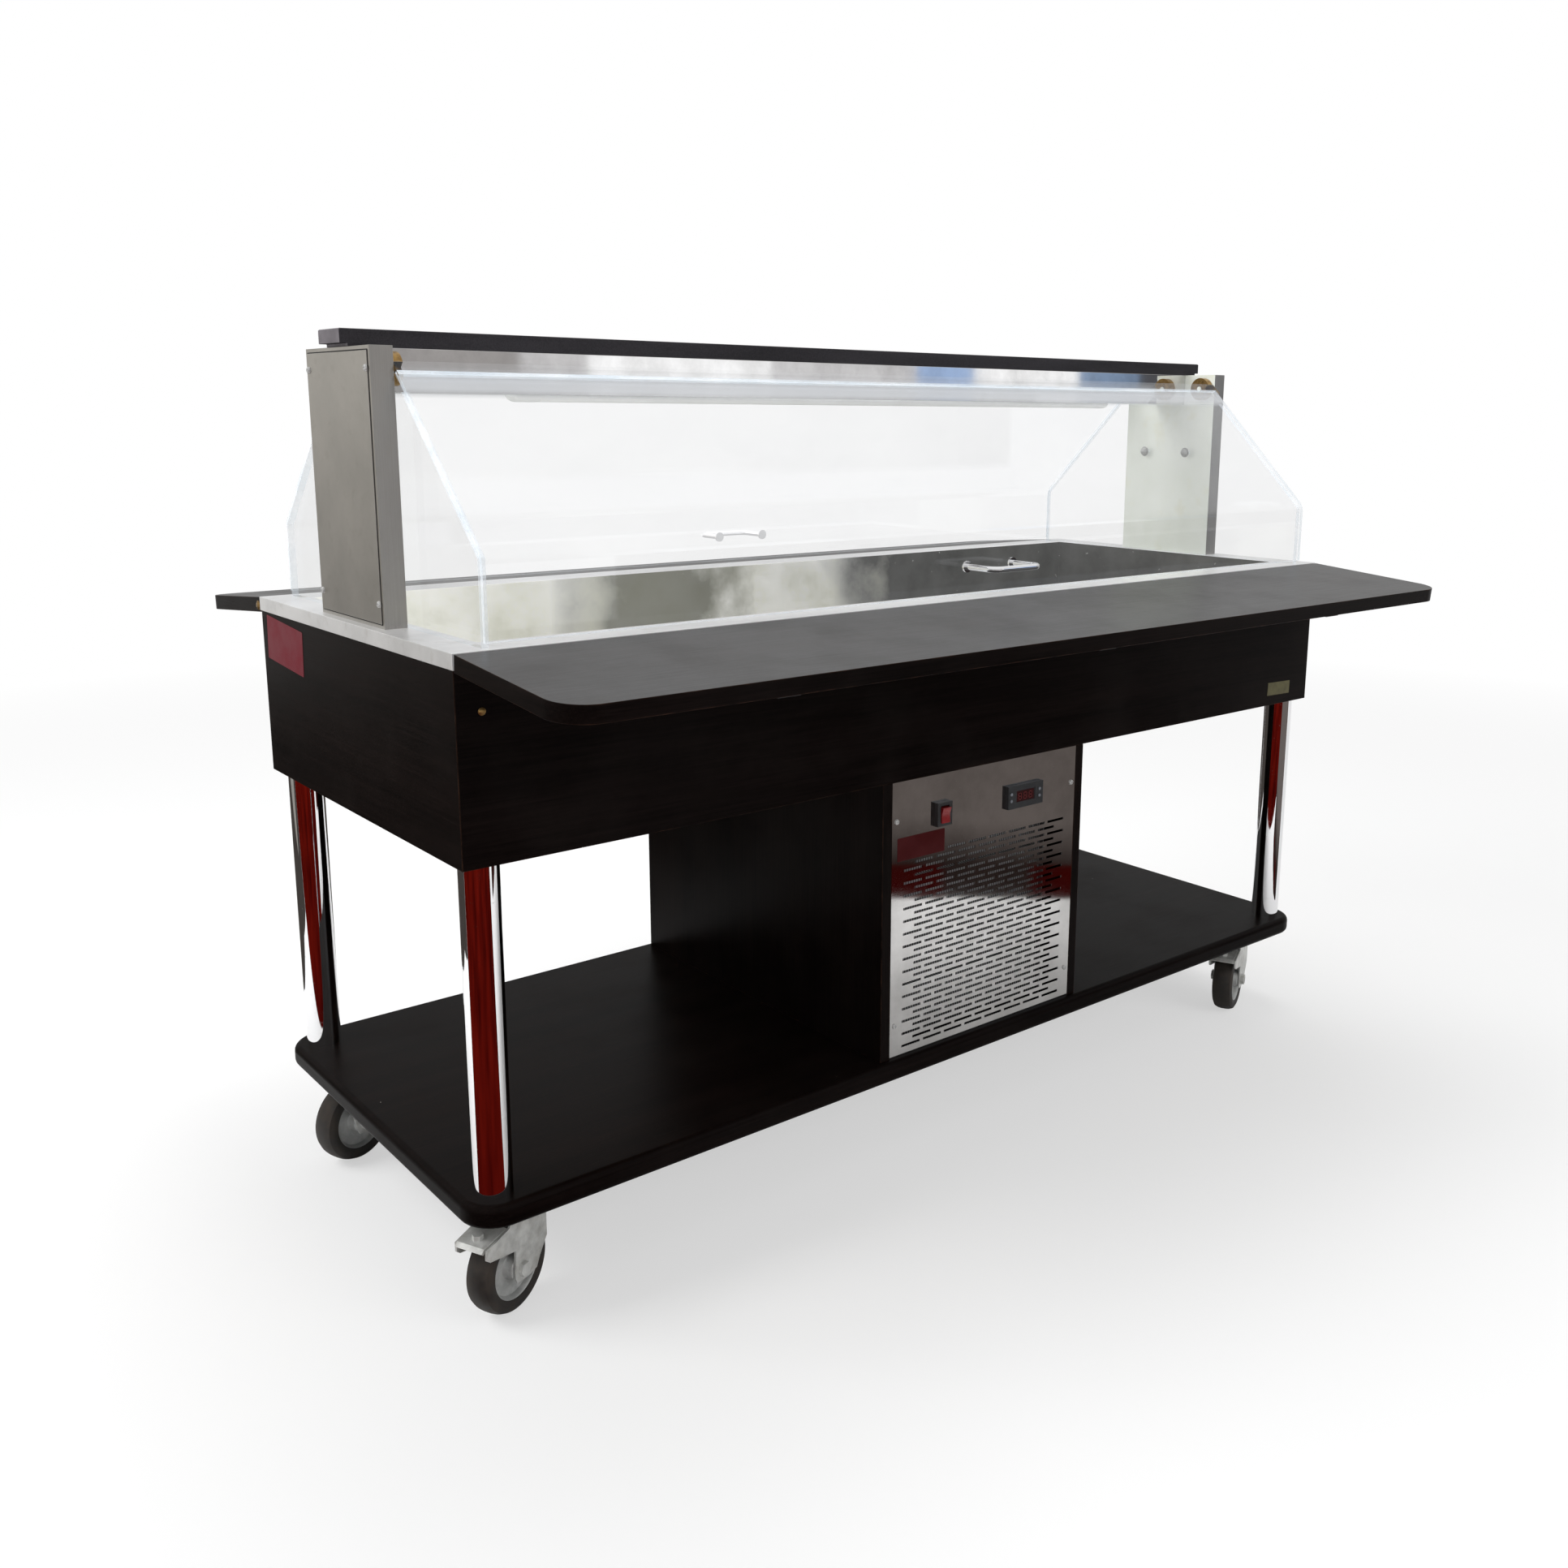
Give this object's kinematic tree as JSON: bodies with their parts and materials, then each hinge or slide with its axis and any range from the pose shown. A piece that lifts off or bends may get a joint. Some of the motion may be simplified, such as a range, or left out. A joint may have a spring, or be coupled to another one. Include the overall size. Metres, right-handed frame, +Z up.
{
  "type": "mobile refrigerated salad bar",
  "caption": "Mobile refrigerated salad bar: open steel well with hinged clear guards, overhead lamp, fold-down tray shelves and a cooling unit bay, standing on castors.",
  "frame": {"origin": "on the floor, midway along and midway across the object", "axes": "+X along the length, +Z up, the side with the grille at -Y"},
  "size_m": [1.749, 1.1592, 1.247],
  "materials": {
    "wenge": "dark laminate on board, matt, faint grain",
    "plywood": "sealed board",
    "foam": "rigid insulating foam",
    "stainless_sheet": "brushed, rubbed by use",
    "mirror_steel": "polished stainless",
    "chrome_rod": "bright chrome plate",
    "zinc_steel": "bright zinc plate, dulled",
    "rubber_tyre": "black rubber on a grey disc",
    "clear_acrylic": "clear sheet, polished edges",
    "satin_aluminium": "satin",
    "lamp_white": "opal white",
    "black_plastic": "fine grain",
    "red_plastic": "translucent red",
    "black_steel": "black enamel",
    "fin_aluminium": "bare fins",
    "copper_pipe": "bare pipe"
  },
  "bodies": {
    "chassis": {"apron": "wenge", "base_shelf": "wenge", "bay_rear_panel": "wenge", "bay_side_left": "wenge", "bay_side_right": "wenge", "beam": "mirror_steel", "box_floor": "plywood", "cable_gland": "black_plastic", "castor_plate_front_left": "zinc_steel", "castor_plate_front_right": "zinc_steel", "castor_plate_rear_left": "zinc_steel", "castor_plate_rear_right": "zinc_steel", "column_left": "stainless_sheet", "column_right": "stainless_sheet", "compressor": "black_steel", "condenser": "fin_aluminium", "drain_spout": "stainless_sheet", "end_panel_left": "clear_acrylic", "end_panel_right": "clear_acrylic", "evaporator_coil": "copper_pipe", "grille_panel": "stainless_sheet", "insulation": "foam", "lamp_diffuser": "lamp_white", "lamp_housing": "lamp_white", "post_front_left": "chrome_rod", "post_front_right": "chrome_rod", "post_rear_left": "chrome_rod", "post_rear_right": "chrome_rod", "shelf_rail_front": "satin_aluminium", "shelf_rail_rear": "satin_aluminium", "switch_housing": "black_plastic", "thermostat_body": "black_plastic", "top_board": "wenge", "well_top": "stainless_sheet"},
    "fork_front_left": {"castor_fork_front_left": "zinc_steel"},
    "wheel_front_left": {"castor_wheel_front_left": "rubber_tyre"},
    "brake_front_left": {"castor_brake_front_left": "zinc_steel"},
    "fork_front_right": {"castor_fork_front_right": "zinc_steel"},
    "wheel_front_right": {"castor_wheel_front_right": "rubber_tyre"},
    "brake_front_right": {"castor_brake_front_right": "zinc_steel"},
    "fork_rear_left": {"castor_fork_rear_left": "zinc_steel"},
    "wheel_rear_left": {"castor_wheel_rear_left": "rubber_tyre"},
    "fork_rear_right": {"castor_fork_rear_right": "zinc_steel"},
    "wheel_rear_right": {"castor_wheel_rear_right": "rubber_tyre"},
    "rocker": {"switch_rocker": "red_plastic"},
    "key_set": {"key_set": "black_plastic"},
    "key_down": {"key_down": "black_plastic"},
    "key_up": {"key_up": "black_plastic"},
    "key_power": {"key_power": "black_plastic"},
    "fan": {"fan_rotor": "black_plastic"},
    "guard_front": {"guard_front": "clear_acrylic", "guard_profile_front": "satin_aluminium", "handle_front": "chrome_rod"},
    "shelf_front": {"shelf_front": "wenge", "shelf_frame_front": "satin_aluminium"},
    "guard_rear": {"guard_rear": "clear_acrylic", "guard_profile_rear": "satin_aluminium", "handle_rear": "chrome_rod"},
    "shelf_rear": {"shelf_rear": "wenge", "shelf_frame_rear": "satin_aluminium"}
  },
  "joints": [
    {"name": "swivel_front_left", "type": "hinge", "parent": "chassis", "child": "fork_front_left", "pos_m": [-0.776, -0.255, 0.14], "axis": [0, 0, 1], "continuous": true},
    {"name": "wheel_spin_front_left", "type": "hinge", "parent": "fork_front_left", "child": "wheel_front_left", "pos_m": [-0.80341, -0.2672, 0.0625], "axis": [-0.4067, 0.9135, 0], "continuous": true},
    {"name": "brake_pedal_front_left", "type": "hinge", "parent": "fork_front_left", "child": "brake_front_left", "pos_m": [-0.83629, -0.28185, 0.122], "axis": [0.4067, -0.9135, 0], "range_deg": [0, 14]},
    {"name": "swivel_front_right", "type": "hinge", "parent": "chassis", "child": "fork_front_right", "pos_m": [0.776, -0.255, 0.14], "axis": [0, 0, 1], "continuous": true},
    {"name": "wheel_spin_front_right", "type": "hinge", "parent": "fork_front_right", "child": "wheel_front_right", "pos_m": [0.74859, -0.2672, 0.0625], "axis": [-0.4067, 0.9135, 0], "continuous": true},
    {"name": "brake_pedal_front_right", "type": "hinge", "parent": "fork_front_right", "child": "brake_front_right", "pos_m": [0.71571, -0.28185, 0.122], "axis": [0.4067, -0.9135, 0], "range_deg": [0, 14]},
    {"name": "swivel_rear_left", "type": "hinge", "parent": "chassis", "child": "fork_rear_left", "pos_m": [-0.776, 0.255, 0.14], "axis": [0, 0, 1], "continuous": true},
    {"name": "wheel_spin_rear_left", "type": "hinge", "parent": "fork_rear_left", "child": "wheel_rear_left", "pos_m": [-0.80453, 0.24573, 0.0625], "axis": [-0.309, 0.9511, 0], "continuous": true},
    {"name": "swivel_rear_right", "type": "hinge", "parent": "chassis", "child": "fork_rear_right", "pos_m": [0.776, 0.255, 0.14], "axis": [0, 0, 1], "continuous": true},
    {"name": "wheel_spin_rear_right", "type": "hinge", "parent": "fork_rear_right", "child": "wheel_rear_right", "pos_m": [0.74747, 0.24573, 0.0625], "axis": [-0.309, 0.9511, 0], "continuous": true},
    {"name": "rocker_tilt", "type": "hinge", "parent": "chassis", "child": "rocker", "pos_m": [-0.092, -0.3235, 0.556], "axis": [-1, 0, 0], "range_deg": [0, 12]},
    {"name": "key_set_press", "type": "slide", "parent": "chassis", "child": "key_set", "axis": [0, 1, 0], "range_m": [0, 0.0008], "stiffness_N_per_m": 1000, "springref_m": -0.0006},
    {"name": "key_down_press", "type": "slide", "parent": "chassis", "child": "key_down", "axis": [0, 1, 0], "range_m": [0, 0.0008], "stiffness_N_per_m": 1000, "springref_m": -0.0006},
    {"name": "key_up_press", "type": "slide", "parent": "chassis", "child": "key_up", "axis": [0, 1, 0], "range_m": [0, 0.0008], "stiffness_N_per_m": 1000, "springref_m": -0.0006},
    {"name": "key_power_press", "type": "slide", "parent": "chassis", "child": "key_power", "axis": [0, 1, 0], "range_m": [0, 0.0008], "stiffness_N_per_m": 1000, "springref_m": -0.0006},
    {"name": "fan_spin", "type": "hinge", "parent": "chassis", "child": "fan", "pos_m": [0.008, -0.2125, 0.354], "axis": [0, 1, 0], "continuous": true},
    {"name": "guard_lift_front", "type": "hinge", "parent": "chassis", "child": "guard_front", "pos_m": [0, -0.08, 1.198], "axis": [-1, 0, 0], "range_deg": [0, 75]},
    {"name": "shelf_fold_front", "type": "hinge", "parent": "chassis", "child": "shelf_front", "pos_m": [0, -0.338, 0.842], "axis": [1, 0, 0], "range_deg": [0, 78]},
    {"name": "guard_lift_rear", "type": "hinge", "parent": "chassis", "child": "guard_rear", "pos_m": [0, 0.08, 1.198], "axis": [1, 0, 0], "range_deg": [0, 75]},
    {"name": "shelf_fold_rear", "type": "hinge", "parent": "chassis", "child": "shelf_rear", "pos_m": [0, 0.338, 0.842], "axis": [-1, 0, 0], "range_deg": [0, 78]}
  ]
}
